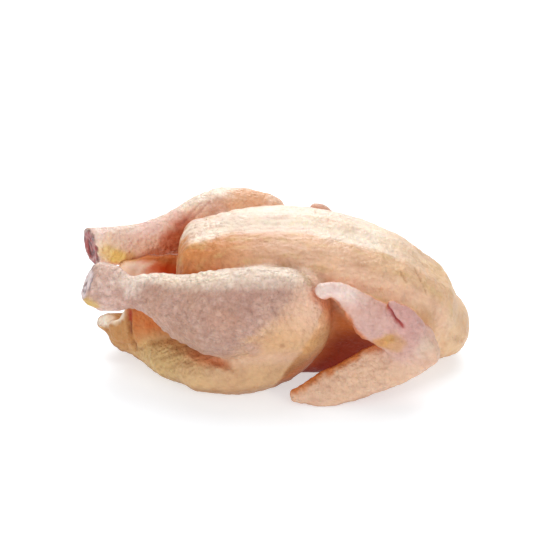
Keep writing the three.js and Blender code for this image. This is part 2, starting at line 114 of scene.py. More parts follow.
LEFT_WING = {
    "upper_arm": [(86, 42.5, 37, 13, 14.5), (59, 55, 52.5, 9, 10), (37, 70, 74.5, 4.5, 4.5)],
    "forearm": [
        (28.5, 74.5, 77.5, 4, 4.5), (38.5, 74.5, 77.5, 4.5, 5), (49, 74.5, 69, 5, 8.5),
        (59, 74.5, 59, 5.5, 12), (70, 73.5, 51.5, 6.5, 13), (81, 72, 44, 8.5, 14), (88, 69, 40, 8.5, 13),
    ],
    "hand": [
        (90, 69, 39, 8.5, 14), (75, 69, 28.5, 7.5, 14.5), (60, 70, 22, 6.5, 14),
        (45, 71, 14.5, 6, 12), (30, 73, 9.5, 5, 10), (13, 74.5, 7, 3.2, 4.2),
    ],
    "thumb": [(84, 74.5, 50, 5, 9), (76.5, 77.5, 61.5, 4.5, 7), (70, 78.5, 69, 3, 3.5)],
}
RIGHT_WING = {
    "upper_arm": [(86, 42.5, 35, 13, 14), (59, 53.5, 51.5, 9, 9), (33, 64.5, 74, 4.5, 4.5)],
    "forearm": [
        (28.5, 66, 77.5, 4.3, 4.5), (33, 66, 76, 4.5, 4.8), (43, 65.5, 66.5, 5, 6.5),
        (55, 64.5, 55, 5.5, 10), (70, 64.5, 44, 6.5, 11), (81, 63.5, 37.5, 7.5, 11), (88, 61.5, 33, 7.5, 11),
    ],
    "hand": [
        (90, 63.5, 31.5, 8.5, 12), (75, 66, 24, 7.5, 13), (60, 69, 18.5, 6.5, 12),
        (45, 72, 14, 6, 11), (30, 73.5, 9.5, 5, 9), (17, 74.5, 7.5, 3.5, 4.5),
    ],
    "thumb": [(83, 67, 40.5, 4.5, 7.5), (73, 69, 49, 4, 6.5), (67, 70, 53.5, 3, 3.5)],
}
HAND_LEAN = (0, -0.42, 0.9)  # the right hand's up; the left's is its mirror image


# ---- fields ----

def soft_min(a, b, blend):
    near = np.maximum(blend - np.abs(a - b), 0) / blend
    return np.minimum(a, b) - near * near * blend * 0.25


def soft_max(a, b, blend):
    return -soft_min(-a, -b, blend)


def fade(x, start, end):
    """Goes smoothly from 0 at the start to 1 at the end."""
    t = np.clip((x - start) / (end - start), 0, 1)
    return t * t * (3 - 2 * t)


def mirrored(rows):
    return [(x, -y, z, width, height) for x, y, z, width, height in rows]


def refined(rows):
    """Rows between the given ones, on a Catmull-Rom curve through places and sizes alike."""
    rows = np.array(rows, float)
    rows = np.vstack([2 * rows[0] - rows[1], rows, 2 * rows[-1] - rows[-2]])
    result = []
    for a, b, c, d in zip(rows, rows[1:], rows[2:], rows[3:]):
        for t in np.arange(SPAN_STEPS) / SPAN_STEPS:
            result.append(0.5 * (2 * b + (c - a) * t + (2 * a - 5 * b + 4 * c - d) * t * t
                                 + (3 * b - a - 3 * c + d) * t ** 3))
    result.append(rows[-2])
    return np.array(result)


class Limb:
    """Field of a row of cross-sections.

    Power 2 makes them ellipses, more makes them squarer. The cap is how far the ends bulge,
    as a share of the section's smaller half size.
    """

    def __init__(self, rows, up=(0, 0, 1), power=2.0, cap=1.0):
        self.rows = refined(rows)
        self.up = np.array(up, float)
        self.power = power
        self.cap = cap
        size = self.rows[:, 3:].max(1)[:, None] + REACH
        self.low = (self.rows[:, :3] - size).min(0)
        self.high = (self.rows[:, :3] + size).max(0)

    def __call__(self, points):
        field = np.full(len(points), FAR_AWAY)
        close = np.all((points > self.low) & (points < self.high), axis=1)
        inner = points[close]
        nearest = np.full(len(inner), FAR_AWAY)
        for start, end in zip(self.rows, self.rows[1:]):
            along = end[:3] - start[:3]
            length = np.linalg.norm(along)
            along = along / length
            side = np.cross(self.up, along)
            side = side / np.linalg.norm(side)
            top = np.cross(along, side)
            offset = inner - start[:3]
            axial = offset @ along
            t = np.clip(axial / length, 0, 1)
            beyond = axial - t * length
            width = start[3] + (end[3] - start[3]) * t
            height = start[4] + (end[4] - start[4]) * t
            x, y = offset @ side, offset @ top
            cap = np.minimum(width, height) * self.cap
            if self.power == 2:
                scale = np.sqrt((x / width) ** 2 + (y / height) ** 2 + (beyond / cap) ** 2)
            else:
                p = self.power
                sides = np.abs(x / width) ** p + np.abs(y / height) ** p
                scale = (sides + np.abs(beyond / cap) ** p) ** (1 / p)
            distance = np.sqrt(x * x + y * y + beyond * beyond)
            nearest = np.minimum(nearest, distance * (1 - 1 / (scale + 1e-9)))
        field[close] = nearest
        return field


def cut_plane(cut):
    """Distance in front of the plane: above 0 is cut away."""
    point, facing = cut
    normal = np.array(facing, float)
    normal /= np.linalg.norm(normal)
    return lambda points: (points - point) @ normal


def pair(left, right, **form):
    """The limbs of both sides. Rows are given as if on the right side, and mirrored for the left."""
    return [Limb(mirrored(left), **form), Limb(right, **form)]


TRUNK_LIMB = Limb(TRUNK, power=2.15)
BREAST_LIMBS = pair(BREAST, BREAST, power=2.4, cap=0.75)
KEEL_LIMB = Limb(KEEL)
TAIL_LIMB = Limb(TAIL, power=2.3)
RUMP_LIMBS = pair(RUMP, RUMP)
BACK_LIMBS = pair(BACK, BACK, power=2.4)
FLANK_LIMBS = pair(LEFT_FLANK, RIGHT_FLANK, power=2.8)
THIGH_LIMBS = pair(LEFT_THIGH, RIGHT_THIGH, power=2.1)
CAVITY_LIMB = Limb(CAVITY, power=2.2)
DRUMSTICK_LIMBS = pair(LEFT_DRUMSTICK, RIGHT_DRUMSTICK)
HOCK_PLANES = [cut_plane(LEFT_HOCK_CUT), cut_plane(RIGHT_HOCK_CUT)]
UPPER_ARM_LIMBS = pair(LEFT_WING["upper_arm"], RIGHT_WING["upper_arm"])
FOREARM_LIMBS = pair(LEFT_WING["forearm"], RIGHT_WING["forearm"])
HAND_LIMBS = [
    Limb(mirrored(LEFT_WING["hand"]), up=(0, -HAND_LEAN[1], HAND_LEAN[2]), power=2.3),
    Limb(RIGHT_WING["hand"], up=HAND_LEAN, power=2.3),
]
THUMB_LIMBS = pair(LEFT_WING["thumb"], RIGHT_WING["thumb"])


def nearest_of(limbs, points):
    return np.minimum(limbs[0](points), limbs[1](points))


def drumstick_fields(points):
    return [soft_max(limb(points), plane(points), EDGE_BLEND)
            for limb, plane in zip(DRUMSTICK_LIMBS, HOCK_PLANES)]


def chicken_field(points):
    x, _, z = points.T
    breast = soft_min(BREAST_LIMBS[0](points), BREAST_LIMBS[1](points), BREAST_BLEND)
    breast = soft_min(breast, KEEL_LIMB(points), BREAST_BLEND)
    body = soft_min(TRUNK_LIMB(points), breast, BODY_BLEND)
    body = soft_min(body, TAIL_LIMB(points), TAIL_BLEND)
    back = np.minimum(nearest_of(RUMP_LIMBS, points), nearest_of(BACK_LIMBS, points))
    body = soft_min(body, back, RUMP_BLEND)
    body = soft_min(body, nearest_of(FLANK_LIMBS, points), SKIN_BLEND)
    hollow = CAVITY_LIMB(points)
    body = soft_max(body, -hollow, CAVITY_BLEND)
    thigh = soft_max(nearest_of(THIGH_LIMBS, points), -hollow, CAVITY_BLEND)
    leg_blend = HOCK_BLEND + (KNEE_BLEND - HOCK_BLEND) * fade(x, -37, 5)
    leg = soft_min(thigh, np.minimum(*drumstick_fields(points)), leg_blend)
    body = soft_min(body, leg, SKIN_BLEND)
    body = soft_min(body, nearest_of(UPPER_ARM_LIMBS, points), SHOULDER_BLEND)
    wings = soft_min(nearest_of(FOREARM_LIMBS, points), nearest_of(HAND_LIMBS, points), WRIST_BLEND)
    wings = soft_min(wings, nearest_of(THUMB_LIMBS, points), THUMB_BLEND)
    body = soft_min(body, wings, HOCK_BLEND)
    return soft_max(body, -z, EDGE_BLEND)


# ---- meshing: one vertex in each grid cell that the surface crosses ----

def mesh_field(field, low, high, cell, coarse=3):
    """Vertices and quads of the field's zero surface, from a grid that is fine only near it."""
    near_surface = 1.9 * cell * coarse
    axes = [np.arange(low[i], high[i] + cell, cell) for i in range(3)]
    counts = [len(axis) for axis in axes]
    grid = np.stack(np.meshgrid(*[axis[::coarse] for axis in axes], indexing="ij"), -1)
    rough = field(grid.reshape(-1, 3)).reshape(grid.shape[:3])

    def spread(values):
        for axis in range(3):
            values = values.repeat(coarse, axis)
        return values[:counts[0], :counts[1], :counts[2]]

    near = np.pad(np.abs(rough) < near_surface, 1)
    near = near[1:-1, 1:-1, 1:-1] | near[:-2, 1:-1, 1:-1] | near[1:-1, :-2, 1:-1] | near[1:-1, 1:-1, :-2]
    close = spread(near)
    values = spread(np.where(rough < 0, -FAR_AWAY, FAR_AWAY)).copy()
    index = np.argwhere(close)
    points = np.stack([axes[i][index[:, i]] for i in range(3)], 1)
    values[close] = field(points)

    cells = [count - 1 for count in counts]
    total = np.zeros(cells + [3])
    crossings = np.zeros(cells)
    crossed = []
    for axis in range(3):
        start = [slice(None)] * 3
        end = [slice(None)] * 3
        start[axis], end[axis] = slice(0, -1), slice(1, None)
        a, b = values[tuple(start)], values[tuple(end)]
        hit = (a < 0) != (b < 0)
        where = np.argwhere(hit)
        va, vb = a[hit], b[hit]
        place = np.stack([axes[i][where[:, i]] for i in range(3)], 1)
        place[:, axis] += cell * va / (va - vb)
        others = [i for i in range(3) if i != axis]
        for shift in ((0, 0), (0, 1), (1, 0), (1, 1)):
            spot = where.copy()
            spot[:, others[0]] -= shift[0]
            spot[:, others[1]] -= shift[1]
            fits = np.all((spot >= 0) & (spot < cells), axis=1)
            np.add.at(total, tuple(spot[fits].T), place[fits])
            np.add.at(crossings, tuple(spot[fits].T), 1)
        crossed.append((where, va < 0))

    has = crossings > 0
    number = np.full(has.shape, -1)
    number[has] = np.arange(has.sum())
    vertices = total[has] / crossings[has][:, None]
    quads = []
    for axis, (where, start_inside) in enumerate(crossed):
        second, third = (axis + 1) % 3, (axis + 2) % 3
        ring = []
        for down in ((1, 1), (0, 1), (0, 0), (1, 0)):
            spot = where.copy()
            spot[:, second] -= down[0]
            spot[:, third] -= down[1]
            ring.append(number[tuple(spot.T)])
        quad = np.stack(ring, 1)
        quad[~start_inside] = quad[~start_inside][:, ::-1]
        quads.append(quad)
    return vertices, np.vstack(quads)


class Net:
    """A mesh of quads with the neighbour sums that smoothing and normals need."""

    def __init__(self, vertices, quads):
        self.points = vertices
        self.quads = quads
        self.edges = np.vstack([quads[:, [i, (i + 1) % 4]] for i in range(4)])
        self.degree = np.bincount(self.edges[:, 0], minlength=len(vertices))

    def scatter(self, index, values):
        """Sum of the rows of values that each vertex gets."""
        sums = [np.bincount(index, column, len(self.points)) for column in values.T]
        return np.stack(sums, 1)

    def mean_round(self, values):
        """Mean of the neighbours' values, for each vertex."""
        flat = values.reshape(len(self.points), -1)
        total = self.scatter(self.edges[:, 0], flat[self.edges[:, 1]])
        return (total / self.degree[:, None]).reshape(values.shape)

    def normals(self):
        a, b, c, d = (self.points[self.quads[:, i]] for i in range(4))
        across = np.cross(c - a, d - b)
        total = sum(self.scatter(self.quads[:, i], across) for i in range(4))
        return total / (np.linalg.norm(total, axis=1)[:, None] + 1e-12)

    def settle(self, field, steps):
        """Moves each vertex along its normal onto the field's zero surface."""
        probe, least_slope, longest = 0.3, 0.3, 1.0
        for _ in range(steps):
            normals = self.normals()
            value = field(self.points)
            slope = (field(self.points + normals * probe) - value) / probe
            move = np.clip(value / np.maximum(slope, least_slope), -longest, longest)
            self.points = self.points - normals * move[:, None]

    def relax(self, rounds, share=0.5):
        """Slides vertices along the surface towards the middle of their neighbours."""
        for _ in range(rounds):
            pull = self.mean_round(self.points) - self.points
            normals = self.normals()
            pull -= normals * np.sum(pull * normals, axis=1)[:, None]
            self.points = self.points + share * pull


# ---- noise ----

AXIS_PRIMES = (73856093, 19349663, 83492791)
SEED_PRIME = 2654435761
MIXING_PRIME = 1274126177
LOW_BITS = 0xFFFFF
LAYER_SHIFT = 17.3  # puts the layers' bumps in different places
LAYER_RATIO = 2.03  # how much finer each layer is


def hashed(cells, seed):
    """A repeatable random number from 0 to 1 for each whole-numbered cell."""
    x, y, z = (cells[..., axis] * prime for axis, prime in enumerate(AXIS_PRIMES))
    n = x ^ y ^ z ^ (seed * SEED_PRIME)
    n = (n ^ (n >> 13)) * MIXING_PRIME
    n = n ^ (n >> 16)
    return (n & LOW_BITS) / LOW_BITS


def noise(points, seed):
    """Smooth noise from -1 to 1, one bump to a unit."""
    base = np.floor(points).astype(np.int64)
    t = points - base
    t = t * t * t * (t * (t * 6 - 15) + 10)
    total = np.zeros(len(points))
    for corner in np.ndindex(2, 2, 2):
        weight = np.prod(np.where(corner, t, 1 - t), axis=1)
        total += weight * hashed(base + corner, seed)
    return total * 2 - 1


def layered_noise(points, seed, layers=3):
    """Noise in layers, each finer and half as strong as the one before."""
    total, size, height = np.zeros(len(points)), 1.0, 1.0
    for layer in range(layers):
        total += height * noise(points * size + layer * LAYER_SHIFT, seed + layer)
        size *= LAYER_RATIO
        height *= 0.5
    return total


def nearest_seed(points, spacing, seed, jitter=0.8):
    """Distance to the nearest of the jittered seeds, one to a cell, and that seed's number."""
    scaled = points / spacing
    base = np.floor(scaled).astype(np.int64)
    best = np.full(len(points), np.inf)
    number = np.zeros(len(points))
    for shift in np.ndindex(3, 3, 3):
        cell = base + shift - 1
        offset = np.stack([hashed(cell, seed + k) for k in range(3)], 1)
        distance = np.linalg.norm(cell + 0.5 + (offset - 0.5) * jitter - scaled, axis=1)
        closer = distance < best
        best = np.where(closer, distance, best)
        number = np.where(closer, hashed(cell, seed + 9), number)
    return best * spacing, number


# ---- the bird's regions ----

# Each region: its tint, how coarse its skin looks, spacing and height of its feather follicles.
REGIONS = {
    "trunk": ((214, 164, 118), 0.3, 3.8, 0.2),
    "breast": ((226, 184, 152), 0.4, 3.8, 0.14),
    "tail": ((190, 138, 84), 0.7, 3.8, 0.25),
    "rump": ((206, 170, 116), 0.6, 3.8, 0.25),
    "flank": ((206, 140, 84), 0.5, 3.8, 0.15),
    "thigh": ((208, 168, 126), 0.35, 4.6, 0.25),
    "left_leg": ((202, 164, 148), 1.0, 4.6, 0.95),
    # the far leg's tint is lighter than the near leg's: painted light on its side that the lamps leave in
    # shade
    "right_leg": ((250, 206, 178), 0.6, 4.6, 0.55),
    "upper_arm": ((214, 160, 112), 0.4, 3.8, 0.3),
    "forearm": ((214, 174, 164), 0.6, 3.8, 0.45),
    "hand": ((228, 190, 162), 0.6, 3.8, 0.2),
    "thumb": ((214, 168, 160), 0.6, 3.8, 0.35),
}
REGION_SOFTNESS = 3.0  # over how many millimetres two regions fade into each other


def region_weights(points):
    """How much each vertex belongs to each region: shares that add up to 1."""
    left_leg, right_leg = drumstick_fields(points)
    fields = {
        "trunk": np.minimum(TRUNK_LIMB(points), nearest_of(BACK_LIMBS, points)),
        "breast": np.minimum(nearest_of(BREAST_LIMBS, points), KEEL_LIMB(points)),
        "tail": TAIL_LIMB(points),
        "rump": nearest_of(RUMP_LIMBS, points),
        "flank": nearest_of(FLANK_LIMBS, points),
        "thigh": nearest_of(THIGH_LIMBS, points),
        "left_leg": left_leg,
        "right_leg": right_leg,
        "upper_arm": nearest_of(UPPER_ARM_LIMBS, points),
        "forearm": nearest_of(FOREARM_LIMBS, points),
        "hand": nearest_of(HAND_LIMBS, points),
        "thumb": nearest_of(THUMB_LIMBS, points),
    }
    nearest = np.min(list(fields.values()), axis=0)
    weights = {name: np.exp(-(field - nearest) / REGION_SOFTNESS) for name, field in fields.items()}
    total = sum(weights.values())
    return {name: weight / total for name, weight in weights.items()}


# ---- relief: folds, wrinkles and follicles, as millimetres along the normal ----

# Paths in the bird's frame, on its left side but for those of its far leg.
TAIL_SLIT = [(-92, -29, 43), (-92.5, -29, 37), (-92, -29, 28), (-90, -27, 18), (-87, -24, 9)]
TAIL_RIM = [(-114, -4, 26), (-109, -12, 29), (-104, -22, 36), (-98, -25, 40)]
THUMB_CREASE = [(67, -79, 70), (68.5, -81, 68), (70, -81.5, 64.5), (72.5, -82, 61.5), (77, -82, 57.5)]
KNEE_GROOVE = [(0, -47, 84), (4, -47, 83), (8, -48, 82), (13, -50, 81), (19, -55, 81), (24, -61, 79)]
KNEE_EDGE = [(6, -48, 83), (10, -50, 82), (16, -60, 82), (22, -67, 79), (25, -72, 79)]
THIGH_FOLD = [(-43, -62, 28), (-36, -66, 26), (-28, -70, 24)]
FAR_CROOK_FOLD = [(-63, 38, 77), (-57, 41, 84), (-50, 45, 90)]
FAR_CROOK_FOLD_ABOVE = [(-57, 39, 80), (-50, 40, 86), (-44, 45, 92)]
NECK_NICK = [(79, -35, 73), (82, -40, 68)]
NECK_SCRATCH = [(89, -23, 71), (92, -32, 66), (95, -37, 60)]
WING_WEB = [(31, -75, 73), (43, -75, 63), (50, -75, 51), (60, -74, 43)]  # edge of the elbow's skin
HAND_EDGE = [(74, -63, 42), (60, -64, 35), (45, -66, 26), (30, -69, 19), (13, -73, 11)]
NECK_FOLD = [
    (112, -38, 34), (117, -32, 26), (121, -22, 21), (123, -8, 19),
    (123, 8, 19), (121, 22, 21), (117, 32, 26),
]

# Each crease: its path, half width, depth.
CREASES = [
    # tail
    (TAIL_SLIT, 1.3, 2.6),
    ([(-100, -26, 36), (-100, -27, 28), (-97, -19, 14)], 1.5, 1.3),
    ([(-106, -18, 31), (-105, -17, 24), (-103, -12, 16)], 1.4, 0.9),
    ([(-96, -28, 39), (-96, -29, 30), (-94, -26, 18)], 1.4, 0.8),
    ([(-86, -31, 38), (-84, -34, 26), (-80, -38, 17)], 1.6, 0.7),
    # thumbs
    (THUMB_CREASE, 1.4, 2.8),
    ([(66, 77, 54), (70, 74, 50), (75, 73, 46)], 1.3, 1.6),
    # behind the left knee, and where thigh and rump meet under the drumstick
    (KNEE_GROOVE, 2.4, 2.2),
    ([(-50, -70, 35), *THIGH_FOLD, (-20, -74, 25)], 1.6, 1.3),
    ([(-46, -73, 30), (-38, -73, 22), (-28, -75, 19)], 1.4, 0.8),
    ([(-62, -52, 30), (-52, -62, 22), (-42, -67, 18)], 1.4, 0.8),
    # the breast's rear edge
    ([(-57, -30, 70), (-52, -27, 84), (-44, -24, 90)], 1.3, 0.7),
    ([(-57, -18, 76), (-52, -16, 86), (-45, -13, 91)], 1.3, 0.5),
    ([(-56, -42, 66), (-52, -38, 78), (-47, -34, 86)], 1.3, 0.6),
    # the crook of the right knee
    (FAR_CROOK_FOLD, 1.2, 0.9),
    (FAR_CROOK_FOLD_ABOVE, 1.2, 1.0),
    ([(-50, 38, 84), (-46, 40, 87), (-41, 44, 91)], 1.2, 0.8),
    # neck end
    ([(68, -33, 79), (71, -38, 76)], 1.0, 0.7),
    (NECK_NICK, 1.0, 0.7),
    (NECK_SCRATCH, 1.1, 0.8),
    ([(84, -38, 68), (90, -38, 62), (96, -38, 52)], 1.1, 0.7),
    ([(106, -42, 34), (107, -38, 24), (108, -34, 12), (108, -30, 3)], 1.8, 1.6),
    (NECK_FOLD, 2.0, 1.8),
    # left wrist
    ([(101, -78, 42), (97, -82, 34), (92, -82, 30)], 1.6, 0.6),
    ([(86, -80, 52), (90, -80, 46), (92, -79, 40)], 1.5, 0.7),
    ([(62, -78, 44), (67, -80, 48), (72, -80, 50)], 1.5, 1.5),
]

# Each swelling or hollow: its middle, radius, height.
SWELLINGS = [
    ((-111, -5, 28), 11, 2.6),     # top of the tail's tip
    ((-116, -7, 14), 9, -3.2),     # under the tail's tip
    ((-101, 27, 51), 10, 3.4),     # under the right hock
    ((-89, 31, 57), 10, 2.4),
    ((-118, -40, 74), 8, 1.4),     # top of the left hock
    ((-123, -38, 52), 7, -1.6),    # under the left hock
]

# Ridges of each stretch of skin: height, size along x, y and z, size of their bends, seed, and how far
# they are turned about Y in degrees. Those that end in "lights" vary the tint and not the relief: painted
# light and shade of ridges too fine for the mesh.
RUMP_ANGLE, REAR_ANGLE, NECK_ANGLE, FLAP_ANGLE = -24, -68, 38, -30
RIDGES = {
    "breast": (0.7, (34, 4.0, 4.0), 12, 21, 0),
    "rear": (0.7, (22, 3.4, 3.4), 9, 25, REAR_ANGLE),
    "rump": (0.75, (26, 3.4, 3.4), 10, 31, RUMP_ANGLE),
    "neck": (0.8, (4.6, 17, 17), 9, 41, NECK_ANGLE),
    "leg": (0.35, (9, 5, 5), 8, 51, 0),
    "far_crook": (0.8, (4.0, 14, 14), 8, 55, NECK_ANGLE),
    "wing": (0.6, (7, 5, 4), 7, 61, 0),
    "cavity": (0.8, (5, 22, 22), 14, 91, 0),
    "rump_lights": (0.5, (26, 2.4, 2.4), 10, 31, RUMP_ANGLE),
    "rear_lights": (0.35, (22, 2.6, 2.6), 9, 25, REAR_ANGLE),
    "breast_lights": (0.16, (30, 2.6, 2.6), 12, 21, 0),
}

SWELL_SIZE, SWELL_HEIGHT = 17, 0.6  # the meat's uneven form under the skin
PUCKER_SIZE, PUCKER_HEIGHT = 6, 0.28
WEB_FRAY = 1.2  # how far the web's edge sways in and out
TABLE_REACH = 2.5  # relief fades out this far above the table


def distance_to(middle, points):
    return np.linalg.norm(points - np.array(middle), axis=1)


def path_distance(points, path):
    """Distance to a line through the path's points, and how far along it from 0 to 1."""
    path = np.array(path, float)
    best = np.full(len(points), np.inf)
    along = np.zeros(len(points))
    for i, (start, end) in enumerate(zip(path, path[1:])):
        span = end - start
        t = np.clip((points - start) @ span / (span @ span), 0, 1)
        distance = np.linalg.norm(points - start - t[:, None] * span, axis=1)
        closer = distance < best
        best = np.where(closer, distance, best)
        along = np.where(closer, (i + t) / (len(path) - 1), along)
    return best, along


def crease_relief(points):
    """Grooves along the creases' paths, with a low lip on both sides."""
    relief = np.zeros(len(points))
    wobble = 0.6 * noise(points / 3.0, 71)
    for path, width, depth in CREASES:
        distance, along = path_distance(points, path)
        ends = np.minimum(1, 4 * np.minimum(along, 1 - along) + 0.25)
        reach = np.maximum(distance + wobble, 0) / width
        relief += depth * ends * (-np.exp(-reach ** 2) + 0.35 * np.exp(-(reach - 2.1) ** 2))
    return relief


def turned(angle):
    """Rotation about Y, for rows of points: ridges then run at that angle in the side view."""
    c, s = math.cos(math.radians(angle)), math.sin(math.radians(angle))
    return np.array([(c, 0, s), (0, 1, 0), (-s, 0, c)])


def ridges(name, points):
    """Long low ridges: noise stretched along each axis by its own size in millimetres."""
    height, fibre, bend, seed, angle = RIDGES[name]
    points = points @ turned(angle)
    warp = noise(points / bend, seed + 5)
    ridge = 1 - np.abs(layered_noise(points / np.array(fibre) + 0.35 * warp[:, None], seed, 2))
    return height * (ridge - 0.6)


def follicles(points, regions):
    """Domes round the feather follicles: their height in millimetres, and their shape from 0 to 1."""
    height = np.zeros(len(points))
    shape = np.zeros(len(points))
    for spacing in sorted({spacing for _, _, spacing, _ in REGIONS.values()}):
        distance, number = nearest_seed(points, spacing, 81 + int(spacing * 10))
        uneven = 0.75 + 0.5 * noise(points / (2.2 * spacing), 87)
        dome = fade(distance, 0.66 * spacing, 0.1 * spacing) * (0.6 + 0.4 * number) * uneven
        for name, (_, _, own_spacing, own_height) in REGIONS.items():
            if own_spacing == spacing:
                height += regions[name] * own_height * dome
                shape += regions[name] * dome
    return height, shape


def shut_in(points, normals):
    """How much of the open sky in front of each vertex the bird itself takes, from 0 to 1."""
    total = np.zeros(len(points))
    for reach, weight in ((4, 0.2), (9, 0.3), (18, 0.3), (34, 0.2)):
        room = np.clip(chicken_field(points + normals * reach), 0, reach)
        total += weight * (1 - room / reach)
    return np.clip(total, 0, 1)


def cut_masks(points):
    """For each hock: how much a vertex lies on the cut, and its distance from the bone's middle."""
    masks = []
    ragged = 2.2 * noise(points / 3.2, 235) + 2.0 * noise(points / 8.0, 237)
    for plane, (middle, _), side in zip(HOCK_PLANES, (LEFT_HOCK_CUT, RIGHT_HOCK_CUT), (-1, 1)):
        distance = distance_to(middle, points)
        on_side = points[:, 1] * side > 8
        on_plane = fade(np.abs(plane(points)), 1.6, 0.5) * on_side
        masks.append((on_plane * fade(distance + ragged, 14.5, 12), distance))
    return masks


def cut_rings(points, distance):
    """Wavy rings round the bone, from -1 to 1: the ends of sinews and folds of skin on a cut."""
    wave = np.sin(distance / 1.7 + 2.6 * noise(points / 4.5, 231))
    return 0.6 * wave + 0.4 * noise(points / 2.2, 233)


class Skin:
    """The surface before its relief: for each vertex its place, normal, regions and surroundings."""

    def __init__(self, net):
        self.points, self.normals = net.points.copy(), net.normals()
        self.x, self.y, self.z = self.points.T
        self.regions = region_weights(self.points)
        vars(self).update(self.regions)           # each region's weights under its own name
        self.legs = self.left_leg + self.right_leg
        self.wing = self.forearm + self.hand + self.thumb
        self.upward = self.normals[:, 2]
        self.outward = self.normals[:, 1] * np.sign(self.y)
        self.shade = net.mean_round(shut_in(self.points, self.normals))
        self.dome_height, self.domes = follicles(self.points, self.regions)
        self.ragged = layered_noise(self.points / 5, 211, 2)

        lining = fade(CAVITY_LIMB(self.points), 2.5, 0.3) * fade(self.x, -112, -96)
        self.inside = lining * (1 - fade(self.legs, 0.3, 0.7))
        self.outside = 1 - self.inside
        self.cuts = cut_masks(self.points)
        self.on_cut = self.cuts[0][0] + self.cuts[1][0]

        knee_slope = self.x - 1.03 * self.z       # rises from the drumstick's shank to the knee
        self.knee = self.left_leg * fade(knee_slope + 4 * self.ragged, -74, -54)
        self.knee += self.right_leg * fade(self.x, -40, -16)
        self.smooth_knee = self.left_leg * fade(knee_slope, -66, -48)


def skin_relief(s):
    x = s.x
    neck = s.breast * fade(x, 60, 95) + s.trunk * fade(x, 70, 95)
    rear = s.breast * fade(x, -20, -48) * fade(s.upward, 0.9, 0.6)
    shares = {
        "breast": (s.breast - neck - rear).clip(0),
        "rear": rear,
        "rump": s.rump + s.tail + 0.6 * s.thigh * fade(x, 0, -40),
        "neck": neck,
        "leg": s.legs + s.thigh,
        "far_crook": s.right_leg * fade(x, -62, -52) * fade(x, -28, -38),
        "wing": s.wing,
    }
    relief = crease_relief(s.points) + s.dome_height
    for name, share in shares.items():
        relief += share * ridges(name, s.points)
    web, _ = path_distance(s.points, WING_WEB)
    relief += s.wing * fade(web, 6, 1) * (WEB_FRAY * noise(s.points / 3.4, 65) + 0.5 * WEB_FRAY)
    return relief


def cut_relief(s):
    """The cuts sink in wavy rings, and in a hollow round the bone."""
    from_bone = np.minimum(s.cuts[0][1], s.cuts[1][1])
    return -0.8 * (cut_rings(s.points, from_bone) + fade(from_bone, 11, 7))


def relief_of(s):
    relief = SWELL_HEIGHT * (1 - 0.5 * s.breast) * layered_noise(s.points / SWELL_SIZE, 3)
    relief += PUCKER_HEIGHT * layered_noise(s.points / PUCKER_SIZE, 11, 2)
    for middle, radius, height in SWELLINGS:
        relief += height * fade(distance_to(middle, s.points), radius, 0)
    relief += s.outside * skin_relief(s)
    relief += s.inside * (ridges("cavity", s.points) + 0.3 * layered_noise(s.points / 3, 95, 2))
    relief = relief * (1 - s.on_cut) + s.on_cut * cut_relief(s)
    return relief * fade(s.z, 0.0, TABLE_REACH)


# ---- tints ----

CROWN_FAT_AND_LIGHT_TINT = (252, 238, 220)  # the breast's crown: partly fat showing through thin skin along the keel, partly painted light on its top
FAT_TINT = (214, 184, 124)
FLUSH_TINT = (240, 206, 192)
REAR_TINT = (212, 140, 84)
NECK_TINT = (226, 188, 150)
KNEE_TINT = (236, 196, 168)
THIGH_TINT = (212, 168, 126)
THIGH_EDGE_TINT = (208, 156, 100)  # painted shade on the thigh's edge that turns away from the light
# painted shade at the low end of the thigh's edge, by the floor
LOW_EDGE_SHADE_TINT = (150, 90, 46)
# lighter painted shade where that edge reaches the knee
KNEE_SIDE_LIGHTER_SHADE_TINT = (244, 194, 152)
BY_WING_LIGHT_TINT = (250, 214, 186)  # painted light on the body just above the wing, whose outward face lies in shade
# the elbow's pale skin, whitest along its top where a highlight is painted
ELBOW_PALE_AND_HIGHLIGHT_TINT = (244, 222, 214)
HOCK_TINT = (228, 196, 184)
INNER_WING_SHADE_TINT = (214, 132, 70)  # painted shade: orange on the sides of the wing that face the body
SIDE_SHADE_TINT = (208, 108, 20)  # painted shade on the bird's side behind the wing
# deeper painted shade lower on that side
DARK_SIDE_SHADE_TINT = (138, 32, 0)
# orange of the flaps beside the drumstick, partly painted shade under it
FLANK_ORANGE_AND_SHADE_TINT = (202, 104, 36)
FOLD_SHADE_TINT = (212, 116, 56)  # painted shade in folds and hollows, orange where light comes through the meat
FLESH_TINT = (214, 48, 8)
MEMBRANE_TINT = (250, 142, 56)
# the flap's pale rim: partly its skin, partly a painted highlight along its top
FLAP_RIM_AND_HIGHLIGHT_TINT = (255, 236, 212)
CROOK_TINT = (196, 52, 20)
BONE_TINT = (206, 170, 158)
YELLOW_TINT = (216, 178, 84)
PALE_YELLOW_TINT = (240, 208, 112)
PALE_TINT = (236, 220, 198)
BROWN_TINT = (160, 108, 64)
SCRATCH_TINT = (168, 110, 66)
CROOK_FOLD_SHADE_TINT = (186, 110, 92)
CUT_TINTS = (((226, 204, 202), (112, 76, 78)), ((158, 62, 56), (78, 20, 20)))  # left, right: meat, dark
LIGHT_POWERS = np.array([0.7, 1.0, 1.15])  # in the painted light and shade, red varies less than blue between lit skin and shaded
